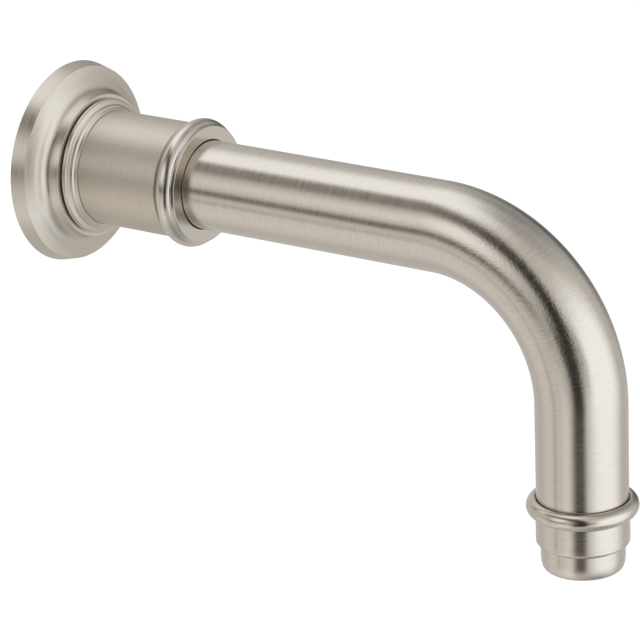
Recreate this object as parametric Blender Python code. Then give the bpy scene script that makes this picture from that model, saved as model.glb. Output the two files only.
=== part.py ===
"""Wall-mounted bath spout: a bent tube on a slip-fit wall connector, with a sliding flange and an aerator.

The wall is the plane y = 0, the spout runs along -Y and then turns down to -Z. Along the horizontal
axis a station is the distance from the wall; along the outlet's axis it is the depth below the
horizontal axis. Outlines are closed loops of (station, radius).
"""

from math import cos, pi, radians, sin

import bmesh
import bpy
from mathutils import Matrix, Vector

MM = 0.001
GAP = 0.3 * MM
WELD = 1e-6

VISIBLE_SEGMENTS = 32
HIDDEN_SEGMENTS = 24
BEND_STEPS = 10
SHARP_EDGE = radians(32)

# Spout tube and its route
PROJECTION = 202.8 * MM
BEND_RADIUS = 52.2 * MM
TUBE_RADIUS = 15.18 * MM
TUBE_BORE = 13.38 * MM
TUBE_BACK = 40.3 * MM
TUBE_END = 88.3 * MM
STRAIGHT_END = PROJECTION - BEND_RADIUS
BEND_LENGTH = BEND_RADIUS * pi / 2
CLIP_GROOVE_BACK = 41.4 * MM
CLIP_GROOVE_FRONT = 43.0 * MM
CLIP_GROOVE_RADIUS = 14.4 * MM

# Wall flange and the ring pressed into its mouth
FLANGE_RADIUS = 35.0 * MM
FLANGE_RIM_RADIUS = 33.6 * MM
FLANGE_RIM_DEPTH = 5.4 * MM
NECK_RADIUS = 23.65 * MM
NECK_BACK = 11.3 * MM
NECK_FRONT = 12.6 * MM
HUB_BORE = 21.6 * MM
HUB_SHELF = 7.2 * MM
HUB_BACK = 5.5 * MM
GASKET_OUTER = 32.5 * MM
GASKET_INNER = 30.8 * MM
GASKET_DEPTH = 1.5 * MM

# Sleeve and the front ring
SLEEVE_RADIUS = 19.73 * MM
SLEEVE_BORE = 17.7 * MM
SLEEVE_BACK = 4.0 * MM
SLEEVE_FRONT = 49.3 * MM
SLIDING_BORE = SLEEVE_RADIUS + GAP
BEAD_STATION = 53.3 * MM
BEAD_RING_RADIUS = 18.54 * MM
BEAD_SECTION = 3.49 * MM
FRONT_FACE = 57.6 * MM
FACE_EDGE_RADIUS = 19.94 * MM
TUBE_CLEARANCE = TUBE_RADIUS + GAP

# Mounting body inside the sleeve
BODY_RADIUS = SLEEVE_BORE - GAP
BODY_BACK = 14.6 * MM
BODY_SHOULDER = 40.0 * MM
BODY_FRONT = 62.0 * MM
BODY_SPIGOT = TUBE_BORE - GAP
BODY_SOCKET = 11.1 * MM
BODY_SOCKET_END = 37.3 * MM
WATERWAY = 9.0 * MM

# Wall connector
INLET_THREAD = 10.3 * MM
INLET_DEPTH = 13.3 * MM
CONNECTOR_CORNER = 15.0 * MM
CONNECTOR_SPIGOT = 10.8 * MM
CONNECTOR_END = 37.0 * MM
CONNECTOR_BORE = 7.5 * MM
SEAL_GROOVE = 9.35 * MM
SEAL_GROOVE_WIDTH = 2.0 * MM
SEAL_SECTION = 0.75 * MM
CLAMP_GROOVE = 9.9 * MM
CLAMP_GROOVE_WIDTH = 5.0 * MM

# Set screw and its pad
SCREW_STATION = 24.0 * MM
SCREW_RADIUS = 2.5 * MM
SCREW_INNER_END = 12.9 * MM
SCREW_OUTER_END = 18.6 * MM
SCREW_SOCKET = 1.45 * MM
SCREW_SOCKET_DEPTH = 2.8 * MM
PAD_RADIUS = 2.2 * MM
PAD_INNER_END = 10.2 * MM

# Outlet bead and collar
OUTLET_BEAD_STATION = 87.0 * MM
OUTLET_BEAD_RING = 15.55 * MM
OUTLET_BEAD_SECTION = 2.96 * MM
COLLAR_RADIUS = 15.43 * MM
COLLAR_TOP = 76.0 * MM
COLLAR_SHOULDER = 88.6 * MM
COLLAR_LEDGE = 90.25 * MM
COLLAR_BOTTOM = 100.1 * MM
COLLAR_ROUNDING = 1.6 * MM
COLLAR_WATERWAY = 10.4 * MM
CHAMBER_TOP = 91.0 * MM
CHAMBER_BORE = 12.6 * MM

# Nozzle and aerator cartridge
NOZZLE_RADIUS = 13.92 * MM
NOZZLE_THREAD = CHAMBER_BORE - GAP
NOZZLE_TOP = 94.0 * MM
NOZZLE_TAPER = 104.1 * MM
NOZZLE_BOTTOM = 108.86 * MM
NOZZLE_END_RADIUS = 12.96 * MM
NOZZLE_BORE = 11.0 * MM
NOZZLE_LIP = 10.2 * MM
NOZZLE_LIP_TOP = 106.3 * MM
CAGE_RADIUS = NOZZLE_BORE - GAP
CAGE_BORE = 9.7 * MM
CAGE_LEDGE = 8.9 * MM
CARTRIDGE_RADIUS = CAGE_BORE - GAP

NICKEL = (0.55, 0.51, 0.46)
BRASS = (0.62, 0.45, 0.18)
RUBBER = (0.03, 0.03, 0.03)
ACETAL = (0.80, 0.80, 0.78)
STEEL = (0.50, 0.50, 0.51)
FOAM = (0.16, 0.16, 0.17)


def clear_scene():
    for old in list(bpy.data.objects):
        bpy.data.objects.remove(old, do_unlink=True)


def material(name, colour, metallic, roughness):
    made = bpy.data.materials.new(name)
    made.use_nodes = True
    shader = made.node_tree.nodes["Principled BSDF"]
    shader.inputs["Base Color"].default_value = (*colour, 1.0)
    shader.inputs["Metallic"].default_value = metallic
    shader.inputs["Roughness"].default_value = roughness
    return made


def empty(name, location, turn):
    made = bpy.data.objects.new(name, None)
    made.location = location
    made.rotation_euler = turn
    bpy.context.scene.collection.objects.link(made)
    return made


def arc(station, radius, size, start, end, steps):
    """Points of an arc about (station, radius); angle 0 points outwards, 90 degrees along the axis."""
    angles = [radians(start + (end - start) * i / steps) for i in range(steps + 1)]
    return [(station + size * sin(a), radius + size * cos(a)) for a in angles]


def placed(name, mesh, surface, parent):
    """Put a finished bmesh into the scene as one shaded object under its axis."""
    bmesh.ops.remove_doubles(mesh, verts=mesh.verts, dist=WELD)
    bmesh.ops.recalc_face_normals(mesh, faces=mesh.faces)
    data = bpy.data.meshes.new(name)
    mesh.to_mesh(data)
    mesh.free()
    data.shade_smooth()
    data.set_sharp_from_angle(angle=SHARP_EDGE)
    made = bpy.data.objects.new(name, data)
    made.parent = parent
    bpy.context.scene.collection.objects.link(made)
    if surface:
        data.materials.append(surface)
    else:
        made.hide_render = True
        made.display_type = "WIRE"
    return made


def turned(name, outline, surface, parent, segments=VISIBLE_SEGMENTS):
    """Turn an outline about the parent's local Z axis."""
    mesh = bmesh.new()
    points = [mesh.verts.new((radius, 0.0, station)) for station, radius in outline]
    edges = [mesh.edges.new(pair) for pair in zip(points, points[1:])]
    if outline[0][1] or outline[-1][1]:
        edges.append(mesh.edges.new((points[-1], points[0])))
    bmesh.ops.spin(
        mesh,
        geom=points + edges,
        cent=(0.0, 0.0, 0.0),
        axis=(0.0, 0.0, 1.0),
        angle=2 * pi,
        steps=segments,
        use_merge=True,
    )
    return placed(name, mesh, surface, parent)


def seal(name, station, ring_radius, section, surface, parent):
    """An O-ring: a six-sided section turned about the axis."""
    outline = arc(station, ring_radius, section, 0, 300, 5)
    return turned(name, outline, surface, parent, HIDDEN_SEGMENTS)


def washer(name, top, bottom, outer, inner, surface, parent, segments=HIDDEN_SEGMENTS):
    outline = [(top, inner), (top, outer), (bottom, outer), (bottom, inner)]
    return turned(name, outline, surface, parent, segments)


def cut(target, cutter):
    made = target.modifiers.new("cut_" + cutter.name, "BOOLEAN")
    made.operation = "DIFFERENCE"
    made.solver = "EXACT"
    made.object = cutter


def tube_section(distance):
    """Centre and forward direction of the tube's centreline at a distance along it from the wall."""
    if distance <= STRAIGHT_END:
        return Vector((0.0, -distance, 0.0)), Vector((0.0, -1.0, 0.0))
    turn = min(distance - STRAIGHT_END, BEND_LENGTH) / BEND_RADIUS
    forward = Vector((0.0, -cos(turn), -sin(turn)))
    centre = Vector((0.0, -STRAIGHT_END - BEND_RADIUS * sin(turn), -BEND_RADIUS * (1 - cos(turn))))
    below = max(distance - STRAIGHT_END - BEND_LENGTH, 0.0)
    return centre - Vector((0.0, 0.0, below)), forward


def spout_tube(surface):
    """The bent tube: its wall's outline is carried along the centreline as rings, joined in turn."""
    end = STRAIGHT_END + BEND_LENGTH + TUBE_END - BEND_RADIUS
    bend = [STRAIGHT_END + BEND_LENGTH * i / BEND_STEPS for i in range(BEND_STEPS + 1)]
    groove = [
        (TUBE_BACK, TUBE_RADIUS),
        (CLIP_GROOVE_BACK, TUBE_RADIUS),
        (CLIP_GROOVE_BACK, CLIP_GROOVE_RADIUS),
        (CLIP_GROOVE_FRONT, CLIP_GROOVE_RADIUS),
        (CLIP_GROOVE_FRONT, TUBE_RADIUS),
    ]
    outside = groove + [(distance, TUBE_RADIUS) for distance in bend + [end]]
    inside = [(distance, TUBE_BORE) for distance in [end] + bend[::-1] + [TUBE_BACK]]
    mesh = bmesh.new()
    rings = []
    for distance, radius in outside + inside:
        centre, forward = tube_section(distance)
        side = Vector((1.0, 0.0, 0.0))
        up = side.cross(forward)
        angles = [2 * pi * i / VISIBLE_SEGMENTS for i in range(VISIBLE_SEGMENTS)]
        rings.append([mesh.verts.new(centre + radius * (cos(a) * side + sin(a) * up)) for a in angles])
    for ring, following in zip(rings, rings[1:] + rings[:1]):
        for i in range(VISIBLE_SEGMENTS):
            mesh.faces.new((ring[i - 1], ring[i], following[i], following[i - 1]))
    return placed("spout_tube", mesh, surface, None)


def screw_hole(name, radius, inner, outer, axis):
    """A cutter for the set screw's radial hole."""
    outline = [(inner, 0.0), (inner, radius), (outer, radius), (outer, 0.0)]
    return turned(name, outline, None, axis, HIDDEN_SEGMENTS)


def wall_connector(surface, axis):
    """Female inlet socket at the wall, a hexagon for the spanner and a grooved spigot."""
    front = CONNECTOR_END
    outline = [(GAP, INLET_THREAD + 0.6 * MM), (GAP, CONNECTOR_CORNER)]
    outline += [(14.0 * MM, CONNECTOR_CORNER), (14.0 * MM, CONNECTOR_SPIGOT)]
    for station, radius, width in (
        (17.5 * MM, SEAL_GROOVE, SEAL_GROOVE_WIDTH),
        (SCREW_STATION, CLAMP_GROOVE, CLAMP_GROOVE_WIDTH),
        (30.5 * MM, SEAL_GROOVE, SEAL_GROOVE_WIDTH),
    ):
        back, ahead = station - width / 2, station + width / 2
        outline += [(back, CONNECTOR_SPIGOT), (back, radius), (ahead, radius), (ahead, CONNECTOR_SPIGOT)]
    outline += [(front - 1.5 * MM, CONNECTOR_SPIGOT), (front, CONNECTOR_SPIGOT - 1.2 * MM)]
    outline += [(front, CONNECTOR_BORE), (INLET_DEPTH, CONNECTOR_BORE)]
    outline += [(INLET_DEPTH, INLET_THREAD), (GAP + 0.6 * MM, INLET_THREAD)]
    made = turned("wall_connector", outline, surface, axis, HIDDEN_SEGMENTS)
    outside = [(-1.0 * MM, CONNECTOR_CORNER), (-1.0 * MM, 2 * CONNECTOR_CORNER)]
    outside += [(14.0 * MM + GAP, 2 * CONNECTOR_CORNER), (14.0 * MM + GAP, CONNECTOR_CORNER)]
    cut(made, turned("hexagon_cutter", outside, None, axis, 6))
    return made


def mounting_body(surface, axis, screw_axis):
    """The body that slips over the connector and carries the sleeve and the tube."""
    outline = [(BODY_BACK, BODY_SOCKET + 0.8 * MM), (BODY_BACK, BODY_RADIUS)]
    outline += [(BODY_SHOULDER, BODY_RADIUS), (BODY_SHOULDER, BODY_SPIGOT)]
    outline += [(51.0 * MM, BODY_SPIGOT), (51.0 * MM, 11.9 * MM)]
    outline += [(53.0 * MM, 11.9 * MM), (53.0 * MM, BODY_SPIGOT)]
    outline += [(BODY_FRONT - 1.0 * MM, BODY_SPIGOT), (BODY_FRONT, BODY_SPIGOT - 1.0 * MM)]
    outline += [(BODY_FRONT, WATERWAY), (BODY_SOCKET_END, WATERWAY)]
    outline += [(BODY_SOCKET_END, BODY_SOCKET), (BODY_BACK + 0.8 * MM, BODY_SOCKET)]
    made = turned("mounting_body", outline, surface, axis, HIDDEN_SEGMENTS)
    hole = screw_hole("body_hole_cutter", SCREW_RADIUS + GAP, 9.5 * MM, 19.0 * MM, screw_axis)
    cut(made, hole)
    return made


def sleeve(surface, axis, screw_axis):
    outline = [(SLEEVE_BACK, SLEEVE_BORE), (SLEEVE_BACK, SLEEVE_RADIUS)]
    outline += [(SLEEVE_FRONT - 0.5 * MM, SLEEVE_RADIUS), (SLEEVE_FRONT, SLEEVE_RADIUS - 0.5 * MM)]
    outline += [(SLEEVE_FRONT, SLEEVE_BORE)]
    made = turned("sleeve", outline, surface, axis)
    hole = screw_hole("sleeve_hole_cutter", SCREW_RADIUS + 2 * GAP, 16.0 * MM, 21.0 * MM, screw_axis)
    cut(made, hole)
    return made


def wall_flange(surface, axis):
    """Hollow flange: a short tapered rim, a rounded shoulder, a cove and a straight neck."""
    outline = [(0.0, 32.8 * MM), (0.0, FLANGE_RADIUS)]
    outline += [(FLANGE_RIM_DEPTH - 0.5 * MM, FLANGE_RIM_RADIUS + 0.15 * MM)]
    outline += [(FLANGE_RIM_DEPTH, FLANGE_RIM_RADIUS - 0.4 * MM)]
    outline += [(6.4 * MM, 32.3 * MM), (7.6 * MM, 30.4 * MM), (8.4 * MM, 28.6 * MM)]
    outline += [(9.0 * MM, 26.8 * MM), (9.9 * MM, 25.1 * MM), (NECK_BACK, NECK_RADIUS)]
    outline += [(NECK_FRONT, NECK_RADIUS), (NECK_FRONT, HUB_BORE), (HUB_SHELF, HUB_BORE)]
    outline += [(HUB_SHELF, SLIDING_BORE), (HUB_BACK, SLIDING_BORE), (HUB_BACK, 22.8 * MM)]
    outline += [(7.0 * MM, 25.0 * MM), (6.8 * MM, 27.0 * MM), (5.8 * MM, 29.2 * MM)]
    outline += [(4.4 * MM, 30.5 * MM), (GASKET_DEPTH + GAP, 30.5 * MM)]
    outline += [(GASKET_DEPTH + GAP, 32.8 * MM)]
    return turned("wall_flange", outline, surface, axis)


def base_ring(surface, axis):
    """Ring pressed into the flange's mouth: a rounded bead, then a thin lip round the sleeve."""
    back = NECK_FRONT + GAP
    outline = [(9.2 * MM, SLIDING_BORE), (9.2 * MM, HUB_BORE - GAP), (back, HUB_BORE - GAP)]
    outline += [(back, 23.3 * MM), (13.4 * MM, 23.5 * MM), (14.2 * MM, 23.1 * MM)]
    outline += [(14.8 * MM, 22.2 * MM), (15.0 * MM, 21.2 * MM), (15.0 * MM, 20.85 * MM)]
    outline += [(15.9 * MM, 20.8 * MM), (16.2 * MM, 20.45 * MM), (17.1 * MM, 20.3 * MM)]
    outline += [(17.1 * MM, SLIDING_BORE)]
    return turned("base_ring", outline, surface, axis)


def front_ring(surface, axis):
    """Ring at the sleeve's front: a threaded tail, a full bead, a quirk and a flat face round the tube."""
    tail = [(46.3 * MM, TUBE_CLEARANCE), (46.3 * MM, BODY_RADIUS), (49.6 * MM, BODY_RADIUS)]
    bead = arc(BEAD_STATION, BEAD_RING_RADIUS, BEAD_SECTION, -80, 58, 8)
    quirk = [(56.5 * MM, 20.5 * MM), (FRONT_FACE - 0.3 * MM, FACE_EDGE_RADIUS)]
    quirk += [(FRONT_FACE, FACE_EDGE_RADIUS - 0.3 * MM), (FRONT_FACE, TUBE_CLEARANCE)]
    return turned("front_ring", tail + bead + quirk, surface, axis)


def outlet_bead(surface, axis):
    bore = TUBE_CLEARANCE
    bead = arc(OUTLET_BEAD_STATION, OUTLET_BEAD_RING, OUTLET_BEAD_SECTION, -85, 85, 10)
    low = [(OUTLET_BEAD_STATION + 2.8 * MM, bore), (OUTLET_BEAD_STATION - 2.8 * MM, bore)]
    return turned("outlet_bead", bead + low, surface, axis)


def outlet_collar(surface, axis):
    """Collar with a spigot inside the tube above and the aerator's threaded chamber below."""
    outline = [(COLLAR_TOP, COLLAR_WATERWAY), (COLLAR_TOP, BODY_SPIGOT - 1.0 * MM)]
    outline += [(COLLAR_TOP + 1.0 * MM, BODY_SPIGOT), (80.0 * MM, BODY_SPIGOT), (80.0 * MM, 11.9 * MM)]
    outline += [(82.0 * MM, 11.9 * MM), (82.0 * MM, BODY_SPIGOT), (COLLAR_SHOULDER, BODY_SPIGOT)]
    outline += [(COLLAR_SHOULDER, COLLAR_RADIUS - GAP), (COLLAR_LEDGE, COLLAR_RADIUS - GAP)]
    outline += [(COLLAR_LEDGE, COLLAR_RADIUS)]
    middle = COLLAR_BOTTOM - COLLAR_ROUNDING, COLLAR_RADIUS - COLLAR_ROUNDING
    outline += arc(*middle, COLLAR_ROUNDING, 0, 90, 4)
    outline += [(COLLAR_BOTTOM, CHAMBER_BORE), (CHAMBER_TOP, CHAMBER_BORE)]
    outline += [(CHAMBER_TOP, COLLAR_WATERWAY)]
    return turned("outlet_collar", outline, surface, axis)


def nozzle_shell(surface, axis):
    """Screw-in nozzle: a threaded shank in the collar, a plain skirt and a rounded mouth."""
    shoulder = COLLAR_BOTTOM + GAP
    outline = [(NOZZLE_TOP, NOZZLE_BORE), (NOZZLE_TOP, NOZZLE_THREAD), (shoulder, NOZZLE_THREAD)]
    outline += [(shoulder, NOZZLE_RADIUS), (NOZZLE_TAPER, NOZZLE_RADIUS)]
    outline += [(106.6 * MM, 13.75 * MM), (108.0 * MM, 13.4 * MM), (108.6 * MM, NOZZLE_END_RADIUS)]
    outline += [(NOZZLE_BOTTOM, NOZZLE_END_RADIUS - 0.8 * MM), (NOZZLE_BOTTOM, NOZZLE_LIP + 0.7 * MM)]
    outline += [(NOZZLE_BOTTOM - 0.6 * MM, NOZZLE_LIP), (NOZZLE_LIP_TOP, NOZZLE_LIP)]
    outline += [(NOZZLE_LIP_TOP, NOZZLE_BORE)]
    return turned("nozzle_shell", outline, surface, axis)


def perforated_disc(name, top, bottom, hole, pitch, rows, sides, surface, axis):
    """A disc with a hexagonal grid of through holes."""
    outline = [(top, 0.0), (top, CARTRIDGE_RADIUS), (bottom, CARTRIDGE_RADIUS), (bottom, 0.0)]
    made = turned(name, outline, surface, axis, HIDDEN_SEGMENTS)
    holes = bmesh.new()
    depth = 3 * (bottom - top)
    for row in range(-rows, rows + 1):
        count = 2 * rows + 1 - abs(row)
        for column in range(count):
            across = pitch * (column - (count - 1) / 2)
            place = Matrix.Translation((across, pitch * row * sin(pi / 3), (top + bottom) / 2))
            bmesh.ops.create_cone(
                holes,
                cap_ends=True,
                segments=sides,
                radius1=hole,
                radius2=hole,
                depth=depth,
                matrix=place @ Matrix.Rotation(pi / 6, 4, "Z"),
            )
    cut(made, placed(name + "_holes", holes, None, axis))
    return made


def aerator(surfaces, axis):
    """The cartridge inside the nozzle, from its inlet washer down to the stream former."""
    washer("aerator_washer", 91.3 * MM, 92.5 * MM, 12.2 * MM, 10.0 * MM, surfaces["rubber"], axis)
    outline = [(92.8 * MM, CAGE_BORE), (92.8 * MM, 12.2 * MM), (93.6 * MM, 12.2 * MM)]
    outline += [(93.6 * MM, CAGE_RADIUS), (106.0 * MM, CAGE_RADIUS), (106.0 * MM, CAGE_LEDGE)]
    outline += [(105.2 * MM, CAGE_LEDGE), (105.2 * MM, CAGE_BORE)]
    turned("aerator_cage", outline, surfaces["plastic"], axis, HIDDEN_SEGMENTS)
    perforated_disc(
        "inlet_screen", 93.0 * MM, 93.5 * MM, 0.9 * MM, 2.9 * MM, 2, 4, surfaces["steel"], axis
    )
    perforated_disc(
        "flow_regulator", 96.5 * MM, 99.5 * MM, 1.5 * MM, 5.6 * MM, 1, 6, surfaces["plastic"], axis
    )
    perforated_disc(
        "stream_former", 102.4 * MM, 104.9 * MM, 1.2 * MM, 2.8 * MM, 2, 6, surfaces["plastic"], axis
    )


def retaining_clip(surface, axis):
    """Open ring sprung into the tube's groove."""
    back, front = CLIP_GROOVE_BACK + GAP, CLIP_GROOVE_FRONT - GAP
    inner, outer = CLIP_GROOVE_RADIUS + GAP, BODY_RADIUS
    made = washer("retaining_clip", back, front, outer, inner, surface, axis)
    mouth = bmesh.new()
    place = Matrix.Translation((0.0, 16.0 * MM, (back + front) / 2))
    size = Matrix.Diagonal((10.0 * MM, 8.0 * MM, 3.0 * MM, 1.0))
    bmesh.ops.create_cube(mouth, size=1.0, matrix=place @ size)
    cut(made, placed("clip_mouth_cutter", mouth, None, axis))
    return made


def set_screw(surface, axis):
    outline = [(SCREW_INNER_END, 0.0), (SCREW_INNER_END, SCREW_RADIUS - 0.6 * MM)]
    outline += [(SCREW_INNER_END + 0.6 * MM, SCREW_RADIUS), (SCREW_OUTER_END, SCREW_RADIUS)]
    outline += [(SCREW_OUTER_END, SCREW_SOCKET)]
    bottom = SCREW_OUTER_END - SCREW_SOCKET_DEPTH
    outline += [(bottom, SCREW_SOCKET), (bottom, 0.0)]
    return turned("set_screw", outline, surface, axis, 12)


def build():
    clear_scene()
    surfaces = {
        "nickel": material("brushed_nickel", NICKEL, 1.0, 0.3),
        "brass": material("brass", BRASS, 1.0, 0.35),
        "rubber": material("rubber", RUBBER, 0.0, 0.7),
        "plastic": material("acetal", ACETAL, 0.0, 0.45),
        "steel": material("stainless_steel", STEEL, 1.0, 0.35),
        "foam": material("foam_gasket", FOAM, 0.0, 0.95),
    }
    wall_axis = empty("wall_axis", (0.0, 0.0, 0.0), (pi / 2, 0.0, 0.0))
    outlet_axis = empty("outlet_axis", (0.0, -PROJECTION, 0.0), (pi, 0.0, 0.0))
    screw_axis = empty("screw_axis", (0.0, -SCREW_STATION, 0.0), (pi, 0.0, 0.0))
    nickel, rubber = surfaces["nickel"], surfaces["rubber"]

    wall_connector(surfaces["brass"], wall_axis)
    washer("inlet_washer", 11.6 * MM, 13.0 * MM, 9.9 * MM, CONNECTOR_BORE, rubber, wall_axis)
    spigot_seal = SEAL_GROOVE + 0.1 * MM + SEAL_SECTION
    seal("connector_o_ring_rear", 17.5 * MM, spigot_seal, SEAL_SECTION, rubber, wall_axis)
    seal("connector_o_ring_front", 30.5 * MM, spigot_seal, SEAL_SECTION, rubber, wall_axis)

    mounting_body(surfaces["brass"], wall_axis, screw_axis)
    sleeve(nickel, wall_axis, screw_axis)
    front_ring(nickel, wall_axis)
    retaining_clip(surfaces["steel"], wall_axis)
    bush = 43.3 * MM, 46.0 * MM, BODY_RADIUS, TUBE_CLEARANCE
    washer("tube_guide_bush", *bush, surfaces["plastic"], wall_axis, VISIBLE_SEGMENTS)
    spout_tube(nickel)
    seal("body_o_ring", 52.0 * MM, 12.6 * MM, 0.6 * MM, rubber, wall_axis)
    seal("collar_o_ring", 81.0 * MM, 12.6 * MM, 0.6 * MM, rubber, outlet_axis)
    outlet_bead(nickel, outlet_axis)
    outlet_collar(nickel, outlet_axis)

    wall_flange(nickel, wall_axis)
    base_ring(nickel, wall_axis)
    seal("flange_o_ring", 8.2 * MM, 20.6 * MM, 0.7 * MM, rubber, wall_axis)
    gasket = 0.0, GASKET_DEPTH, GASKET_OUTER, GASKET_INNER
    washer("flange_gasket", *gasket, surfaces["foam"], wall_axis, VISIBLE_SEGMENTS)

    set_screw(surfaces["steel"], screw_axis)
    pad = [(PAD_INNER_END, 0.0), (PAD_INNER_END, PAD_RADIUS)]
    pad += [(SCREW_INNER_END - GAP, PAD_RADIUS), (SCREW_INNER_END - GAP, 0.0)]
    turned("clamp_pad", pad, surfaces["brass"], screw_axis, 12)

    nozzle_shell(nickel, outlet_axis)
    aerator(surfaces, outlet_axis)


build()
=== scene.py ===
"""Looks of the wall-mounted bath spout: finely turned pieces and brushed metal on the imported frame.

Outlines are closed loops of corners (station, radius, rounding) in millimetres. On the wall's axis a
station is the distance from the wall; on the outlet's axis it is the depth below the wall's axis;
along the tube it is the distance along its centreline.
"""

from math import cos, hypot, pi, radians, sin, tan

import bmesh
import bpy
from mathutils import Matrix, Vector


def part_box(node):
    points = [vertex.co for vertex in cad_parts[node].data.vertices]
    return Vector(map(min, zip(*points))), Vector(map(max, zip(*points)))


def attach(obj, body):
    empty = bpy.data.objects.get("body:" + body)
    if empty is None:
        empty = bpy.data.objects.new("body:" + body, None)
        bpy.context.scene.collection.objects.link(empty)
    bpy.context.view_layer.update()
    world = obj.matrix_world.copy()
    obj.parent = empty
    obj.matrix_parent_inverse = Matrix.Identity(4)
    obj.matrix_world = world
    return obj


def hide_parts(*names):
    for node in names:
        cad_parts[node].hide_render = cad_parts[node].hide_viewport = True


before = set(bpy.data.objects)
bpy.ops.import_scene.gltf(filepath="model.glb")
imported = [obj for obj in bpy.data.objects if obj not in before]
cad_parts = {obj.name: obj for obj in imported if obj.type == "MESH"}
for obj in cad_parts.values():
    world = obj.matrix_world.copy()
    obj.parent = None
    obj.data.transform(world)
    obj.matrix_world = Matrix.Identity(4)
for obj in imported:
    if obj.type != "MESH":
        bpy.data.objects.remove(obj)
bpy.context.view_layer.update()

MM = 0.001
# Sides of a turned piece, clearance between pieces, and the pinhole left where a piece closes on its axis
AROUND = 192
GAP = 0.3
PINHOLE = 0.02

# Driving sizes, in millimetres, read from the frame or set beside what it gives
TUBE_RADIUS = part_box("spout_tube")[1].x / MM
PROJECTION = -(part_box("outlet_bead")[0].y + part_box("outlet_bead")[1].y) / 2 / MM
BEND_RADIUS = 52.2
STRAIGHT_END = PROJECTION - BEND_RADIUS
BEND_LENGTH = BEND_RADIUS * pi / 2
TUBE_BACK = -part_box("spout_tube")[1].y / MM
TUBE_DROP = -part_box("spout_tube")[0].z / MM - BEND_RADIUS
TUBE_END = STRAIGHT_END + BEND_LENGTH + TUBE_DROP
TUBE_BORE = TUBE_RADIUS - 1.8
SLEEVE_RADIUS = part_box("sleeve")[1].x / MM
SLEEVE_BORE = SLEEVE_RADIUS - 2.03
SLIDING_BORE = SLEEVE_RADIUS + GAP
FLANGE_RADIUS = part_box("wall_flange")[1].x / MM
TUBE_CLEARANCE = TUBE_RADIUS + GAP
BODY_RADIUS = SLEEVE_BORE - GAP
SPIGOT_RADIUS = TUBE_BORE - GAP
COLLAR_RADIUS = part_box("outlet_collar")[1].x / MM
NOZZLE_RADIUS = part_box("nozzle_shell")[1].x / MM
NOZZLE_BOTTOM = -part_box("nozzle_shell")[0].z / MM
CHAMBER_BORE = 12.6
SEAL_GROOVE = 11.9
CONNECTOR_SPIGOT = 10.8
SCREW_STATION = 24.0

# ---------------------------------------------------------------- outlines


def arc(station, radius, size, start, end, steps=24):
    """Points of an arc about (station, radius); angle 0 points outwards, 90 degrees along the axis."""
    angles = [radians(start + (end - start) * i / steps) for i in range(steps + 1)]
    return [(station + size * sin(a), radius + size * cos(a), 0.0) for a in angles]


def curve(start, first, second, end, steps=20):
    """Points of a cubic curve between two corners, with its two handles."""
    points = []
    for i in range(steps + 1):
        t = i / steps
        weights = ((1 - t) ** 3, 3 * t * (1 - t) ** 2, 3 * t * t * (1 - t), t**3)
        pairs = list(zip(weights, (start, first, second, end)))
        points.append((sum(w * p[0] for w, p in pairs), sum(w * p[1] for w, p in pairs), 0.0))
    return points


def rounded(corners, steps=5):
    """Replace each corner that has a rounding with an arc."""
    points = []
    for i, (station, radius, size) in enumerate(corners):
        here = Vector((station, radius))
        before = Vector(corners[i - 1][:2]) - here
        after = Vector(corners[(i + 1) % len(corners)][:2]) - here
        if size <= 0.0 or before.length < 1e-6 or after.length < 1e-6:
            points.append((station, radius))
            continue
        half = before.angle(after) / 2
        reach = min(size / tan(half), 0.48 * before.length, 0.48 * after.length)
        size = reach * tan(half)
        centre = here + (before.normalized() + after.normalized()).normalized() * size / sin(half)
        first = here + before.normalized() * reach - centre
        last = here + after.normalized() * reach - centre
        sweep = first.angle_signed(last)
        for k in range(steps + 1):
            a = -sweep * k / steps
            x = first.x * cos(a) - first.y * sin(a)
            y = first.x * sin(a) + first.y * cos(a)
            points.append((centre.x + x, centre.y + y))
    return points


def subdivided(points, longest):
    """Split the loop's longer stretches, so that shading, bends and threads have points to follow."""
    dense = []
    for (s0, r0), (s1, r1) in zip(points, points[1:] + points[:1]):
        pieces = max(1, round(hypot(s1 - s0, r1 - r0) / longest + 0.49))
        dense += [(s0 + (s1 - s0) * k / pieces, r0 + (r1 - r0) * k / pieces) for k in range(pieces)]
    return dense


# ---------------------------------------------------------------- turned meshes


def wall_axis(station):
    return Vector((0.0, -station, 0.0)), Vector((1, 0, 0)), Vector((0, 0, 1))


def outlet_axis(station):
    return Vector((0.0, -PROJECTION, -station)), Vector((1, 0, 0)), Vector((0, -1, 0))


def screw_axis(station):
    return Vector((0.0, -SCREW_STATION, -station)), Vector((1, 0, 0)), Vector((0, -1, 0))


def tube_route(distance):
    """Centre and cross directions of the tube at a distance along it from the wall."""
    side = Vector((1, 0, 0))
    if distance <= STRAIGHT_END:
        return wall_axis(distance)
    turn = min(distance - STRAIGHT_END, BEND_LENGTH) / BEND_RADIUS
    below = max(distance - STRAIGHT_END - BEND_LENGTH, 0.0)
    y = -STRAIGHT_END - BEND_RADIUS * sin(turn)
    z = -BEND_RADIUS * (1 - cos(turn)) - below
    return Vector((0, y, z)), side, Vector((0, -sin(turn), cos(turn)))


def plain(station, radius, angle):
    return radius


def hexagon(flat, low, high):
    """Keep the radius inside a hexagon between two stations."""

    def shape(station, radius, angle):
        if not low <= station <= high:
            return radius
        return min(radius, flat / cos((angle + pi / 6) % (pi / 3) - pi / 6))

    return shape


def thread(pitch, depth, low, high, near, inside=False):
    """Cut a helical thread into the wall that lies near one radius."""

    def shape(station, radius, angle):
        if abs(radius - near) > 0.02 or not low < station < high:
            return radius
        fade = min(1.0, (station - low) / pitch, (high - station) / pitch)
        phase = (station / pitch - angle / (2 * pi)) % 1.0
        cut = depth * fade * (1 - abs(2 * phase - 1))
        return radius + cut if inside else radius - cut

    return shape


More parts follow.
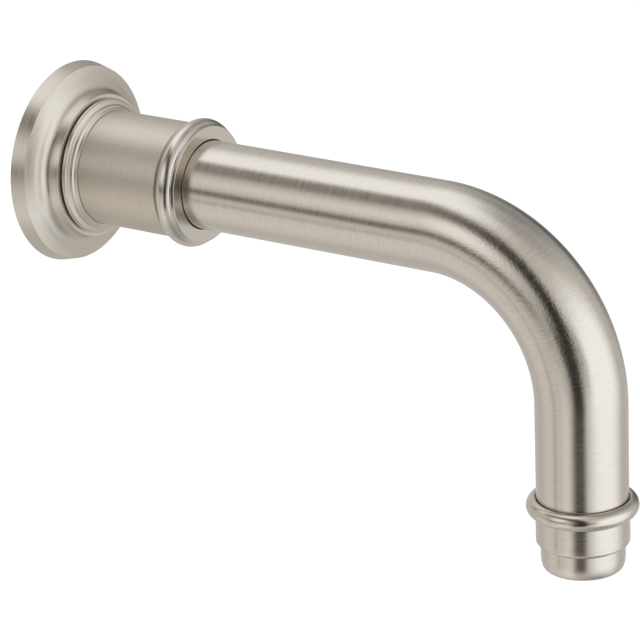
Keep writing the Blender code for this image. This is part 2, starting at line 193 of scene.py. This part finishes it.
def both(first, second):
    return lambda station, radius, angle: second(station, first(station, radius, angle), angle)


def turned(name, corners, path=wall_axis, longest=4.0, shape=plain, around=AROUND):
    """Carry a closed outline round its path; UV x is turns round it and UV y metres along the outline."""
    points = subdivided(rounded(corners), longest)
    verts = []
    for station, radius in points:
        centre, side, up = path(station)
        for j in range(around):
            angle = 2 * pi * j / around
            reach = shape(station, radius, angle)
            verts.append((centre + reach * (cos(angle) * side + sin(angle) * up)) * MM)
    faces = []
    along = [0.0]
    for (s0, r0), (s1, r1) in zip(points, points[1:] + points[:1]):
        along.append(along[-1] + hypot(s1 - s0, r1 - r0) * MM)
    coordinates = []
    for i in range(len(points)):
        here, following = i * around, (i + 1) % len(points) * around
        for j in range(around):
            k = (j + 1) % around
            faces.append((here + j, here + k, following + k, following + j))
            u0, u1 = j / around, (j + 1) / around
            coordinates += [(u0, along[i]), (u1, along[i]), (u1, along[i + 1]), (u0, along[i + 1])]
    mesh = bpy.data.meshes.new(name)
    mesh.from_pydata(verts, [], faces)
    layer = mesh.uv_layers.new(name="turning")
    for loop, uv in zip(layer.data, coordinates):
        loop.uv = uv
    made = bmesh.new()
    made.from_mesh(mesh)
    bmesh.ops.recalc_face_normals(made, faces=made.faces)
    made.to_mesh(mesh)
    made.free()
    mesh.shade_smooth()
    piece = bpy.data.objects.new(name, mesh)
    bpy.context.scene.collection.objects.link(piece)
    return piece


def linked(name, made):
    """Turn a bmesh into an object of the scene."""
    mesh = bpy.data.meshes.new(name)
    made.to_mesh(mesh)
    made.free()
    piece = bpy.data.objects.new(name, mesh)
    bpy.context.scene.collection.objects.link(piece)
    return piece


def add_rod(made, centre, radius, depth, segments):
    """Add an upright solid rod to a bmesh, all in millimetres."""
    place = Matrix.Translation(centre * MM) @ Matrix.Rotation(pi / 6, 4, "Z")
    sizes = {"radius1": radius * MM, "radius2": radius * MM, "depth": depth * MM}
    bmesh.ops.create_cone(made, cap_ends=True, segments=segments, matrix=place, **sizes)


def carved(piece, made):
    """Subtract a bmesh from a piece."""
    cutter = linked("cutter", made)
    cut = piece.modifiers.new("cut", "BOOLEAN")
    cut.operation = "DIFFERENCE"
    cut.solver = "EXACT"
    cut.object = cutter
    bpy.context.view_layer.update()
    result = piece.evaluated_get(bpy.context.evaluated_depsgraph_get())
    piece.data = bpy.data.meshes.new_from_object(result)
    piece.modifiers.clear()
    bpy.data.objects.remove(cutter)
    return piece


def bored(piece, radius, low, high):
    """Drill a round hole through a piece along the set screw's axis."""
    drill = bmesh.new()
    add_rod(drill, screw_axis((low + high) / 2)[0], radius, high - low, 64)
    return carved(piece, drill)


def fitted(piece, node, body, surface):
    """Finish a fine piece: it stands for a CAD node, rides on its body and wears its material."""
    piece.data.materials.clear()
    piece.data.materials.append(surface)
    weighted = piece.modifiers.new("face_weighted_normals", "WEIGHTED_NORMAL")
    weighted.weight = 50
    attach(piece, body)
    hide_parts(node)
    return piece


# ---------------------------------------------------------------- materials


class Nodes:
    """A node tree with helpers that add and join its nodes."""

    def __init__(self, tree):
        self.tree = tree

    def add(self, kind, **settings):
        made = self.tree.nodes.new(kind)
        for key, value in settings.items():
            setattr(made, key, value)
        return made

    def put(self, node, socket, value):
        """Join an output to a socket, or set the socket to a number or a colour."""
        if isinstance(value, bpy.types.NodeSocket):
            self.tree.links.new(value, node.inputs[socket])
        else:
            node.inputs[socket].default_value = value

    def math(self, operation, *values):
        made = self.add("ShaderNodeMath", operation=operation)
        for i, value in enumerate(values):
            self.put(made, i, value)
        return made.outputs[0]

    def ranged(self, value, low, high, start=0.25, end=0.75, **settings):
        """Carry a value from start..end to low..high, and hold it there outside them."""
        made = self.add("ShaderNodeMapRange", **settings)
        numbers = (("From Min", start), ("From Max", end), ("To Min", low), ("To Max", high))
        for socket, number in (*numbers, ("Value", value)):
            self.put(made, socket, number)
        return made.outputs["Result"]

    def mixed(self, factor, first, second):
        """Blend two colours, each a tuple or another node's output."""
        made = self.add("ShaderNodeMix", data_type="RGBA")
        self.put(made, "Factor", factor)
        for slot, colour in ((6, first), (7, second)):
            self.put(made, slot, (*colour, 1.0) if isinstance(colour, tuple) else colour)
        return made.outputs[2]


class Surface(Nodes):
    """A material with the helpers for its textures, bump and brush marks."""

    def __init__(self, name):
        self.material = bpy.data.materials.new(name)
        self.material.use_nodes = True
        super().__init__(self.material.node_tree)
        self.shader = self.tree.nodes["Principled BSDF"]

    def noise(self, vector, scale, detail=2.0, roughness=0.5):
        made = self.add("ShaderNodeTexNoise")
        self.put(made, "Vector", vector)
        self.put(made, "Scale", scale)
        self.put(made, "Detail", detail)
        self.put(made, "Roughness", roughness)
        return made.outputs["Fac"]

    def coloured(self, factor, first, second):
        self.put(self.shader, "Base Color", self.mixed(self.ranged(factor, 0.0, 1.0), first, second))

    def bump(self, height, strength, distance):
        made = self.add("ShaderNodeBump")
        self.put(made, "Strength", strength)
        self.put(made, "Distance", distance)
        self.put(made, "Height", height)
        self.put(self.shader, "Normal", made.outputs["Normal"])

    def place(self):
        return self.add("ShaderNodeTexCoord").outputs["Object"]

    def turning(self, round_detail, groove):
        """Coordinates for marks that run round a turned piece: long round it and fine along it."""
        split = self.add("ShaderNodeSeparateXYZ")
        self.put(split, "Vector", self.add("ShaderNodeUVMap", uv_map="turning").outputs["UV"])
        angle = self.math("MULTIPLY", split.outputs["X"], 2 * pi)
        joined = self.add("ShaderNodeCombineXYZ")
        self.put(joined, "X", self.math("MULTIPLY", self.math("COSINE", angle), round_detail))
        self.put(joined, "Y", self.math("MULTIPLY", self.math("SINE", angle), round_detail))
        self.put(joined, "Z", self.math("DIVIDE", split.outputs["Y"], groove))
        return joined.outputs["Vector"]


MIDDLE_OF_BEND = (0.0, -0.186, -0.018)
IRREGULAR_WITHIN = 0.025
REGULAR_BEYOND = 0.045


def tinted(colour, amount):
    return tuple(min(1.0, c * amount) for c in colour)


def brushed_metal(name, colour, roughness, anisotropy, groove, strength, worn=0.0):
    """Plated metal with brush marks round the piece: they vary its colour, roughness and height.

    The marks turn irregular near the middle of the tube's bend, as strongly as worn says.
    """
    s = Surface(name)
    fine = s.noise(s.turning(2.2, groove), 1.0, 3.0, 0.65)
    broad = s.noise(s.place(), 55.0, 2.0)
    s.coloured(fine, tinted(colour, 0.93), tinted(colour, 1.05))
    s.put(s.shader, "Metallic", 1.0)
    grain = s.ranged(fine, roughness * 0.75, roughness * 1.25)
    s.put(s.shader, "Roughness", s.math("ADD", grain, s.ranged(broad, -0.02, 0.02)))
    s.put(s.shader, "Anisotropic", anisotropy)
    s.put(s.shader, "Anisotropic Rotation", 0.25)
    tangent = s.add("ShaderNodeTangent", direction_type="UV_MAP", uv_map="turning")
    s.put(s.shader, "Tangent", tangent.outputs["Tangent"])
    away = s.add("ShaderNodeVectorMath", operation="DISTANCE")
    s.put(away, 0, s.place())
    s.put(away, 1, MIDDLE_OF_BEND)
    irregular = s.ranged(away.outputs["Value"], worn, 0.0, IRREGULAR_WITHIN, REGULAR_BEYOND)
    speckle = s.math("MULTIPLY", s.noise(s.place(), 1300.0, 2.0), irregular)
    s.bump(s.math("ADD", fine, speckle), strength, 0.00004)
    return s.material


def machined_brass(name):
    s = Surface(name)
    marks = s.noise(s.turning(1.0, 0.00018), 1.0, 2.0)
    stain = s.noise(s.place(), 180.0, 4.0, 0.6)
    s.coloured(stain, (0.56, 0.38, 0.15), (0.80, 0.60, 0.30))
    s.put(s.shader, "Metallic", 1.0)
    s.put(s.shader, "Roughness", s.ranged(marks, 0.22, 0.42))
    s.bump(marks, 0.5, 0.00003)
    return s.material


def dull_brass(name):
    """Brass for pieces with no turning map."""
    s = Surface(name)
    stain = s.noise(s.place(), 900.0, 4.0, 0.6)
    s.coloured(stain, (0.52, 0.36, 0.15), (0.74, 0.55, 0.27))
    s.put(s.shader, "Metallic", 1.0)
    s.put(s.shader, "Roughness", s.ranged(stain, 0.3, 0.5))
    return s.material


def stainless(name):
    s = Surface(name)
    grain = s.noise(s.place(), 1500.0, 3.0)
    s.coloured(grain, (0.50, 0.50, 0.51), (0.66, 0.66, 0.67))
    s.put(s.shader, "Metallic", 1.0)
    s.put(s.shader, "Roughness", s.ranged(grain, 0.22, 0.36))
    s.bump(grain, 0.2, 0.00002)
    return s.material


def moulded_rubber(name):
    s = Surface(name)
    bloom = s.noise(s.place(), 700.0, 5.0, 0.6)
    s.coloured(bloom, (0.022, 0.022, 0.023), (0.05, 0.05, 0.052))
    s.put(s.shader, "Roughness", s.ranged(bloom, 0.5, 0.75))
    s.bump(bloom, 0.25, 0.00004)
    return s.material


def closed_foam(name):
    s = Surface(name)
    cells = s.add("ShaderNodeTexVoronoi")
    s.put(cells, "Vector", s.place())
    s.put(cells, "Scale", 1600.0)
    pits = cells.outputs["Distance"]
    paler = s.ranged(pits, 0.0, 1.0, 0.0, 0.8)
    s.put(s.shader, "Base Color", s.mixed(paler, (0.10, 0.10, 0.11), (0.22, 0.22, 0.23)))
    s.put(s.shader, "Roughness", s.ranged(pits, 0.85, 0.98, 0.0, 0.8))
    s.bump(pits, 0.7, 0.0002)
    return s.material


def moulded_acetal(name):
    s = Surface(name)
    cloud = s.noise(s.place(), 350.0, 3.0)
    s.coloured(cloud, (0.72, 0.72, 0.69), (0.86, 0.86, 0.84))
    s.put(s.shader, "Roughness", s.ranged(cloud, 0.38, 0.52))
    s.put(s.shader, "Subsurface Weight", 0.08)
    s.put(s.shader, "Subsurface Scale", 0.001)
    s.bump(cloud, 0.1, 0.00005)
    return s.material


NICKEL = (0.70, 0.642, 0.562)
nickel = brushed_metal("brushed_nickel", NICKEL, 0.2, 0.6, 0.0007, 0.5)
tube_nickel = brushed_metal("bent_brushed_nickel", NICKEL, 0.2, 0.6, 0.0007, 0.4, worn=2.7)
sleeve_nickel = brushed_metal("coarsely_brushed_nickel", (0.745, 0.672, 0.568), 0.5, 0.5, 0.0008, 0.8)
flange_nickel = brushed_metal("softly_brushed_nickel", (0.70, 0.638, 0.548), 0.33, 0.5, 0.0008, 0.6)
ring_nickel = brushed_metal("finely_brushed_nickel", NICKEL, 0.2, 0.4, 0.0004, 0.3)
brass = machined_brass("machined_brass")
pad_brass = dull_brass("pad_brass")
steel = stainless("stainless_steel")
rubber = moulded_rubber("moulded_rubber")
foam = closed_foam("closed_cell_foam")
acetal = moulded_acetal("moulded_acetal")

# ---------------------------------------------------------------- pieces at the wall


def make_wall_flange():
    corners = [(0.0, 32.8, 0.2), (0.0, FLANGE_RADIUS, 0.25), (5.2, 33.7, 0.3)]
    corners += curve((5.2, 33.7), (5.6, 32.1), (6.1, 30.4), (6.8, 29.0))[1:]
    corners += curve((6.8, 29.0), (7.3, 28.0), (7.6, 26.4), (9.1, 25.6))[1:]
    corners += curve((9.1, 25.6), (10.1, 25.15), (11.2, 24.95), (12.1, 24.85))[1:]
    corners += [(12.4, 24.8, 0.4), (12.4, 21.6, 0.15), (7.2, 21.6, 0.1), (7.2, SLIDING_BORE, 0.2)]
    corners += [(5.5, SLIDING_BORE, 0.3), (5.5, 22.8, 0.4), (6.2, 24.4, 0.8), (5.6, 27.0, 0.8)]
    corners += [(4.8, 29.4, 0.8), (4.0, 30.5, 0.4), (1.8, 30.5, 0.1), (1.8, 32.8, 0.1)]
    fitted(turned("flange_shell", corners), "wall_flange", "flange", flange_nickel)


def make_base_ring():
    corners = [(9.2, SLIDING_BORE, 0.2), (9.2, 21.3, 0.2), (12.9, 21.3, 0.1), (12.9, 23.4, 0.4)]
    corners += [(14.2, 23.4, 0.9), (14.9, 21.5, 0.5), (15.7, 21.2, 0.4), (16.1, 20.5, 0.3)]
    corners += [(17.1, 20.2, 0.3), (17.1, SLIDING_BORE - 0.2, 0.02), (16.1, SLIDING_BORE - 0.2, 0.02)]
    corners += [(15.9, SLIDING_BORE, 0.02)]
    fitted(turned("mouth_ring", corners), "base_ring", "flange", flange_nickel)


def make_sleeve():
    corners = [(4.0, SLEEVE_BORE, 0.2), (4.0, SLEEVE_RADIUS, 0.3), (49.3, SLEEVE_RADIUS, 0.5)]
    corners += [(49.3, SLEEVE_BORE, 0.15)]
    shell = bored(turned("sleeve_shell", corners, longest=1.5), 3.1, 14.0, 21.0)
    fitted(shell, "sleeve", "spout", sleeve_nickel)


def make_front_ring():
    corners = [(46.3, TUBE_CLEARANCE, 0.2), (46.3, BODY_RADIUS, 0.3), (49.6, BODY_RADIUS, 0.0)]
    corners += arc(53.3, 18.54, 3.49, -80, 58, 36)
    corners += [(56.35, 20.45, 0.1), (56.75, 20.5, 0.15), (57.6, 19.94, 0.25)]
    corners += [(57.6, TUBE_CLEARANCE, 0.12)]
    fitted(turned("front_bead_ring", corners), "front_ring", "spout", ring_nickel)


def make_flange_gasket():
    corners = [(0.0, 30.8, 0.3), (0.0, 32.5, 0.3), (1.5, 32.5, 0.3), (1.5, 30.8, 0.3)]
    fitted(turned("gasket_ring", corners), "flange_gasket", "flange", foam)


def make_connector():
    """A threaded socket in a hexagon, and a spigot with a groove for the screw between two for seals."""
    front = 37.0
    waterway = 7.5
    corners = [(GAP, 10.9, 0.1), (GAP, 13.6, 0.1), (1.6, 15.0, 0.1), (12.7, 15.0, 0.1)]
    corners += [(14.0, 13.6, 0.1), (14.0, CONNECTOR_SPIGOT, 0.3)]
    for station, radius, width in ((17.5, 9.35, 2.0), (SCREW_STATION, 9.9, 5.0), (30.5, 9.35, 2.0)):
        back, ahead = station - width / 2, station + width / 2
        corners += [(back, CONNECTOR_SPIGOT, 0.1), (back, radius, 0.15)]
        corners += [(ahead, radius, 0.15), (ahead, CONNECTOR_SPIGOT, 0.1)]
    corners += [(front - 1.5, CONNECTOR_SPIGOT, 0.2), (front, 9.6, 0.2)]
    corners += [(front, waterway, 0.2), (13.3, waterway, 0.2)]
    corners += [(13.3, 10.3, 0.2), (11.2, 10.3, 0.0), (11.0, 9.7, 0.0), (1.6, 9.7, 0.0)]
    shape = both(hexagon(13.0, -1.0, 13.99), thread(1.814, 0.6, 1.4, 11.2, 9.7, inside=True))
    made = turned("inlet_connector", corners, longest=0.2, shape=shape, around=144)
    fitted(made, "wall_connector", "wall_side", brass)


def make_mounting_body():
    corners = [(14.6, 11.9, 0.1), (14.6, BODY_RADIUS, 0.4), (40.0, BODY_RADIUS, 0.3)]
    corners += [(40.0, SPIGOT_RADIUS, 0.2), (51.0, SPIGOT_RADIUS, 0.1), (51.0, SEAL_GROOVE, 0.1)]
    corners += [(53.0, SEAL_GROOVE, 0.1), (53.0, SPIGOT_RADIUS, 0.1), (61.0, SPIGOT_RADIUS, 0.2)]
    corners += [(62.0, SPIGOT_RADIUS - 1.0, 0.2), (62.0, 9.0, 0.2), (37.3, 9.0, 0.2)]
    corners += [(37.3, 11.1, 0.1), (15.4, 11.1, 0.1)]
    body = bored(turned("spout_body", corners, longest=1.5, around=128), 2.8, 9.5, 19.0)
    fitted(body, "mounting_body", "spout", brass)


def make_set_screw():
    """An M5 grub screw with a hexagonal socket."""
    crest = 2.5
    corners = [(12.9, PINHOLE, 0.0), (12.9, 1.9, 0.1), (13.5, crest, 0.0), (18.3, crest, 0.0)]
    corners += [(18.6, 2.2, 0.05), (18.6, 1.6, 0.0), (18.4, 1.44, 0.0), (15.8, 1.44, 0.0)]
    corners += [(15.5, PINHOLE, 0.0)]
    threaded = thread(0.8, 0.42, 13.4, 18.5, crest)
    socket = hexagon(1.25, 15.6, 18.45)

    def shape(station, radius, angle):
        return (threaded if radius > 1.9 else socket)(station, radius, angle)

    made = turned("grub_screw", corners, screw_axis, 0.1, shape, 96)
    fitted(made, "set_screw", "screw", steel)


def make_clamp_pad():
    corners = [(10.2, PINHOLE, 0.0), (10.2, 2.2, 0.3), (12.6, 2.2, 0.2), (12.6, PINHOLE, 0.0)]
    made = turned("screw_pad_button", corners, screw_axis, 0.5, around=64)
    fitted(made, "clamp_pad", "screw_pad", pad_brass)


# ---------------------------------------------------------------- tube and outlet


def make_tube():
    drop_start = STRAIGHT_END + BEND_LENGTH
    corners = [(TUBE_BACK, TUBE_BORE, 0.2), (TUBE_BACK, TUBE_RADIUS, 0.3), (41.4, TUBE_RADIUS, 0.05)]
    corners += [(41.4, 14.4, 0.05), (43.0, 14.4, 0.05), (43.0, TUBE_RADIUS, 0.05)]
    corners += [(STRAIGHT_END, TUBE_RADIUS, 0.0), (drop_start, TUBE_RADIUS, 0.0)]
    corners += [(TUBE_END, TUBE_RADIUS, 0.2), (TUBE_END, TUBE_BORE, 0.2)]
    corners += [(drop_start, TUBE_BORE, 0.0), (STRAIGHT_END, TUBE_BORE, 0.0)]
    fitted(turned("bent_tube", corners, tube_route, 1.0), "spout_tube", "spout", tube_nickel)


def make_outlet_bead():
    corners = arc(87.0, 15.55, 2.96, -85, 85, 48)
    corners += [(89.8, TUBE_CLEARANCE, 0.1), (84.2, TUBE_CLEARANCE, 0.1)]
    made = turned("outlet_bead_ring", corners, outlet_axis)
    fitted(made, "outlet_bead", "spout", ring_nickel)


def make_outlet_collar():
    corners = [(76.0, 10.4, 0.2), (76.0, SPIGOT_RADIUS - 1.0, 0.1), (77.0, SPIGOT_RADIUS, 0.1)]
    corners += [(80.0, SPIGOT_RADIUS, 0.1), (80.0, SEAL_GROOVE, 0.1)]
    corners += [(82.0, SEAL_GROOVE, 0.1), (82.0, SPIGOT_RADIUS, 0.1)]
    corners += [(88.6, SPIGOT_RADIUS, 0.1), (88.6, COLLAR_RADIUS - GAP, 0.1)]
    corners += [(90.25, COLLAR_RADIUS - GAP, 0.05), (90.25, COLLAR_RADIUS, 0.2)]
    corners += [(100.1, COLLAR_RADIUS, 1.7), (100.1, CHAMBER_BORE + 0.4, 0.1)]
    corners += [(99.7, CHAMBER_BORE, 0.05), (91.0, CHAMBER_BORE, 0.1), (91.0, 10.4, 0.2)]
    made = turned("outlet_collar_shell", corners, outlet_axis, 2.0)
    fitted(made, "outlet_collar", "spout", nickel)


def make_nozzle():
    shoulder = 100.4
    shank = CHAMBER_BORE - GAP
    corners = [(94.0, 11.0, 0.15), (94.0, shank - 0.5, 0.1), (94.5, shank, 0.0), (99.8, shank, 0.0)]
    corners += [(99.9, shank - 0.5, 0.0), (shoulder, shank - 0.5, 0.1), (shoulder, NOZZLE_RADIUS, 0.2)]
    corners += curve((104.1, NOZZLE_RADIUS), (106.4, NOZZLE_RADIUS), (108.0, 13.55), (108.5, 13.0))
    corners += [(NOZZLE_BOTTOM, 12.6, 0.4), (NOZZLE_BOTTOM, 10.9, 0.3), (NOZZLE_BOTTOM - 0.7, 10.2, 0.2)]
    corners += [(106.3, 10.2, 0.1), (106.3, 11.0, 0.1)]
    shape = thread(1.0, 0.5, 94.4, 99.9, shank)
    made = turned("nozzle_skirt", corners, outlet_axis, 0.12, shape)
    fitted(made, "nozzle_shell", "nozzle", nickel)


def make_aerator_cage():
    corners = [(92.8, 9.7, 0.1), (92.8, 12.2, 0.2), (93.6, 12.2, 0.2), (93.6, 10.7, 0.1)]
    corners += [(106.0, 10.7, 0.3), (106.0, 8.9, 0.2), (105.2, 8.9, 0.1), (105.2, 9.7, 0.1)]

    def keyed(station, radius, angle):
        """Twelve shallow notches in the lower rim, for an aerator key."""
        notch = station > 105.1 and radius < 9.4 and cos(12 * angle) > 0.55
        return radius + 0.35 if notch else radius

    made = turned("cartridge_cage", corners, outlet_axis, 0.4, keyed)
    fitted(made, "aerator_cage", "aerator", acetal)


def make_stream_former():
    """A honeycomb of hexagonal cells cut through a disc."""
    corners = [(102.4, PINHOLE, 0.0), (102.4, 9.4, 0.1), (104.9, 9.4, 0.2), (104.9, PINHOLE, 0.0)]
    disc = turned("honeycomb", corners, outlet_axis, 5.0, around=96)
    cells = bmesh.new()
    pitch, rows, middle = 2.45, 3, 103.65
    for row in range(-rows, rows + 1):
        count = 2 * rows + 1 - abs(row)
        for column in range(count):
            across = pitch * (column - (count - 1) / 2)
            down = pitch * row * sin(pi / 3) - PROJECTION
            add_rod(cells, Vector((across, down, -middle)), 1.2, 6.0, 6)
    carved(disc, cells).data.set_sharp_from_angle(angle=radians(30))
    fitted(disc, "stream_former", "aerator", acetal)


def make_seals():
    """O-rings, flat washers and the guide bush."""
    rings = (
        # piece, CAD node, body, path, station, middle radius, radius of the section
        ("spigot_seal_rear", "connector_o_ring_rear", "wall_side", wall_axis, 17.5, 10.2, 0.75),
        ("spigot_seal_front", "connector_o_ring_front", "wall_side", wall_axis, 30.5, 10.2, 0.75),
        ("tube_seal", "body_o_ring", "spout", wall_axis, 52.0, 12.6, 0.6),
        ("collar_seal", "collar_o_ring", "spout", outlet_axis, 81.0, 12.6, 0.6),
        ("flange_seal", "flange_o_ring", "flange", wall_axis, 8.2, 20.6, 0.7),
    )
    for name, node, body, path, station, radius, section in rings:
        corners = arc(station, radius, section, 0, 345, 23)
        fitted(turned(name, corners, path, around=128), node, body, rubber)
    washers = (
        # piece, CAD node, body, path, (first station, last station, outer radius, inner radius)
        ("inlet_seat_washer", "inlet_washer", "wall_side", wall_axis, (11.6, 13.0, 9.9, 7.5)),
        ("cartridge_washer", "aerator_washer", "aerator", outlet_axis, (91.3, 92.5, 12.2, 10.0)),
        ("guide_bush", "tube_guide_bush", "spout", wall_axis, (43.3, 46.0, BODY_RADIUS, TUBE_CLEARANCE)),
    )
    for name, node, body, path, (top, bottom, outer, inner) in washers:
        slot, surface = ("acetal", acetal) if name == "guide_bush" else ("rubber", rubber)
        corners = [(top, inner, 0.2), (top, outer, 0.2), (bottom, outer, 0.2), (bottom, inner, 0.2)]
        fitted(turned(name, corners, path, around=128), node, body, surface)


def dress_frame_nodes():
    """The CAD pieces that stay, hidden inside, wear the same procedural materials."""
    kept = (("retaining_clip", steel), ("inlet_screen", steel), ("flow_regulator", acetal))
    for node, surface in kept:
        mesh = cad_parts[node].data
        mesh.materials.clear()
        mesh.materials.append(surface)


# ---------------------------------------------------------------- studio

CAMERA_AZIMUTH = -55.08
CAMERA_ELEVATION = 20.3
CAMERA_ROLL = -2.24
CAMERA_DISTANCE = 1.2794
CAMERA_LENS = 207.2
SENSOR_WIDTH = 36.0
AIM_RIGHT = 0.08544
AIM_UP = -0.05565
FLOOR_HEIGHT = -0.2
FLOOR_RADIUS = 6.0


def make_camera():
    """A long lens to the front left, above the spout; the aim places the wall's centre in the view."""
    a, e, roll = radians(CAMERA_AZIMUTH), radians(CAMERA_ELEVATION), radians(CAMERA_ROLL)
    back = Vector((sin(a) * cos(e), -cos(a) * cos(e), sin(e)))
    level = Vector((0, 0, 1)).cross(back).normalized()
    upright = back.cross(level)
    right = cos(roll) * level + sin(roll) * upright
    up = cos(roll) * upright - sin(roll) * level
    location = AIM_RIGHT * right + AIM_UP * up + CAMERA_DISTANCE * back
    data = bpy.data.cameras.new("studio_camera")
    data.lens = CAMERA_LENS
    data.sensor_width = SENSOR_WIDTH
    camera = bpy.data.objects.new("studio_camera", data)
    turn = Matrix((right, up, back)).transposed().to_4x4()
    camera.matrix_world = Matrix.Translation(location) @ turn
    bpy.context.scene.collection.objects.link(camera)
    bpy.context.scene.camera = camera


def make_floor():
    """A wide pale sweep under the part. Glossy rays pass it, so the metal sees the whole studio."""
    disc = bmesh.new()
    place = Matrix.Translation((0.0, 0.0, FLOOR_HEIGHT))
    bmesh.ops.create_circle(disc, cap_ends=True, segments=128, radius=FLOOR_RADIUS, matrix=place)
    floor = linked("floor", disc)
    s = Surface("pale_floor")
    cloud = s.noise(s.place(), 3.0)
    s.coloured(cloud, (0.86, 0.86, 0.86), (0.88, 0.88, 0.88))
    s.put(s.shader, "Roughness", s.ranged(cloud, 0.85, 0.95))
    s.put(s.shader, "Emission Color", (1.0, 1.0, 1.0, 1.0))
    s.put(s.shader, "Emission Strength", 0.5)
    floor.data.materials.append(s.material)
    floor.visible_glossy = False


# The studio's soft lights and dark cards, each a round patch laid over those before it:
# (azimuth, elevation, radius of its even middle, radius where it ends, colour), in degrees
ROOM_COLOUR = (0.62, 0.61, 0.60)
PATCHES = (
    # a wide window on the room side
    (-88, -2, 22, 62, (1.26, 1.32, 1.40)),
    # a light above and behind
    (84, 66, 15, 44, (1.16, 1.20, 1.26)),
    # the dimmer ceiling in front
    (-35, 66, 6, 32, (0.42, 0.42, 0.42)),
    # a doorway on the far side, and the dim ceiling over it
    (10, 8, 2, 33, (0.11, 0.125, 0.13)),
    (0, 40, 4, 28, (0.31, 0.33, 0.34)),
    # the pale wall below, three lights beside it and a shaded corner
    (130, -36, 12, 40, (0.80, 0.79, 0.78)),
    (160, 24, 6, 22, (1.12, 1.14, 1.18)),
    (172, -26, 4, 16, (0.86, 0.88, 0.90)),
    (166, -42, 8, 22, (0.95, 0.95, 0.96)),
    (141, -21, 1, 8, (0.42, 0.41, 0.36)),
    # a dark card inside the arch
    (-164, -1, 4, 14, (0.06, 0.056, 0.053)),
    # the shaded end of the window wall, and the shaded floor in front of the wall
    (-135, 5, 6, 24, (0.46, 0.45, 0.44)),
    (-100, -66, 8, 38, (0.36, 0.385, 0.40)),
)
# A dark arch runs round a point beside the wall, and a dark skirting line passes through it. Angles are
# in degrees. Each pair says where its mask is whole and where it has faded out: the skirting's reach in
# degrees from the arch's point, the other pairs in heights or depths of the view direction
ARCH_AZIMUTH = 155.0
ARCH_ELEVATION = 2.0
ARCH_RADIUS = 54.0
ARCH_CORE = 6.0
ARCH_EDGE = 19.0
ARCH_NEAR_COLOUR = (0.035, 0.032, 0.03)
ARCH_FAR_COLOUR = (0.27, 0.25, 0.23)
ARCH_TOP = (0.8, 1.0)
ARCH_FOOT = (-0.42, -0.6)
ARCH_DEPTH = (0.6, 0.8)
ARCH_FAR_TO_NEAR = (0.6, -0.35)
SKIRTING_HEIGHT = -0.02
SKIRTING_THICKNESS = (0.03, 0.17)
SKIRTING_REACH = (12.0, 34.0)
SKIRTING_COLOUR = (0.20, 0.195, 0.16)


def direction(azimuth, elevation):
    a, e = radians(azimuth), radians(elevation)
    return Vector((cos(a) * cos(e), sin(a) * cos(e), sin(e)))


class Sky(Nodes):
    """The world's nodes: a colour built up by laying soft masks of the view direction."""

    def __init__(self, tree):
        super().__init__(tree)
        self.toward = self.add("ShaderNodeTexCoord").outputs["Generated"]
        self.colour = ROOM_COLOUR

    def angle(self, azimuth, elevation):
        """Degrees between the view direction and a point of the sky."""
        product = self.add("ShaderNodeVectorMath", operation="DOT_PRODUCT")
        self.put(product, 0, self.toward)
        self.put(product, 1, direction(azimuth, elevation))
        closest = self.math("MINIMUM", self.math("MAXIMUM", product.outputs["Value"], -1.0), 1.0)
        return self.math("MULTIPLY", self.math("ARCCOSINE", closest), 180 / pi)

    def soft(self, value, whole, none):
        """1 on the side of whole, 0 on the side of none, and smooth between them."""
        return self.ranged(value, 1.0, 0.0, whole, none, interpolation_type="SMOOTHSTEP")

    def distance(self, value, middle):
        return self.math("ABSOLUTE", self.math("SUBTRACT", value, middle))

    def lay(self, mask, colour):
        self.colour = self.mixed(mask, self.colour, colour)


def make_studio():
    """A pale studio of soft lights and dark cards."""
    world = bpy.data.worlds.new("studio")
    bpy.context.scene.world = world
    world.use_nodes = True
    sky = Sky(world.node_tree)
    for azimuth, elevation, whole, none, colour in PATCHES:
        sky.lay(sky.soft(sky.angle(azimuth, elevation), whole, none), colour)
    split = sky.add("ShaderNodeSeparateXYZ")
    sky.put(split, "Vector", sky.toward)
    depth, height = split.outputs["Y"], split.outputs["Z"]
    from_arch = sky.angle(ARCH_AZIMUTH, ARCH_ELEVATION)
    line = sky.soft(sky.distance(height, SKIRTING_HEIGHT), *SKIRTING_THICKNESS)
    skirting = sky.math("MULTIPLY", line, sky.soft(from_arch, *SKIRTING_REACH))
    sky.lay(skirting, SKIRTING_COLOUR)
    arch = sky.soft(sky.distance(from_arch, ARCH_RADIUS), ARCH_CORE, ARCH_EDGE)
    for value, limits in ((height, ARCH_TOP), (height, ARCH_FOOT), (depth, ARCH_DEPTH)):
        arch = sky.math("MULTIPLY", arch, sky.soft(value, *limits))
    darkness = sky.mixed(sky.soft(depth, *ARCH_FAR_TO_NEAR), ARCH_NEAR_COLOUR, ARCH_FAR_COLOUR)
    sky.lay(arch, darkness)
    sky.put(sky.tree.nodes["Background"], "Color", sky.colour)
    bpy.context.scene.view_settings.view_transform = "Standard"


make_camera()
make_floor()
make_studio()
make_wall_flange()
make_base_ring()
make_sleeve()
make_front_ring()
make_flange_gasket()
make_connector()
make_mounting_body()
make_set_screw()
make_clamp_pad()
make_tube()
make_outlet_bead()
make_outlet_collar()
make_nozzle()
make_aerator_cage()
make_stream_former()
make_seals()
dress_frame_nodes()
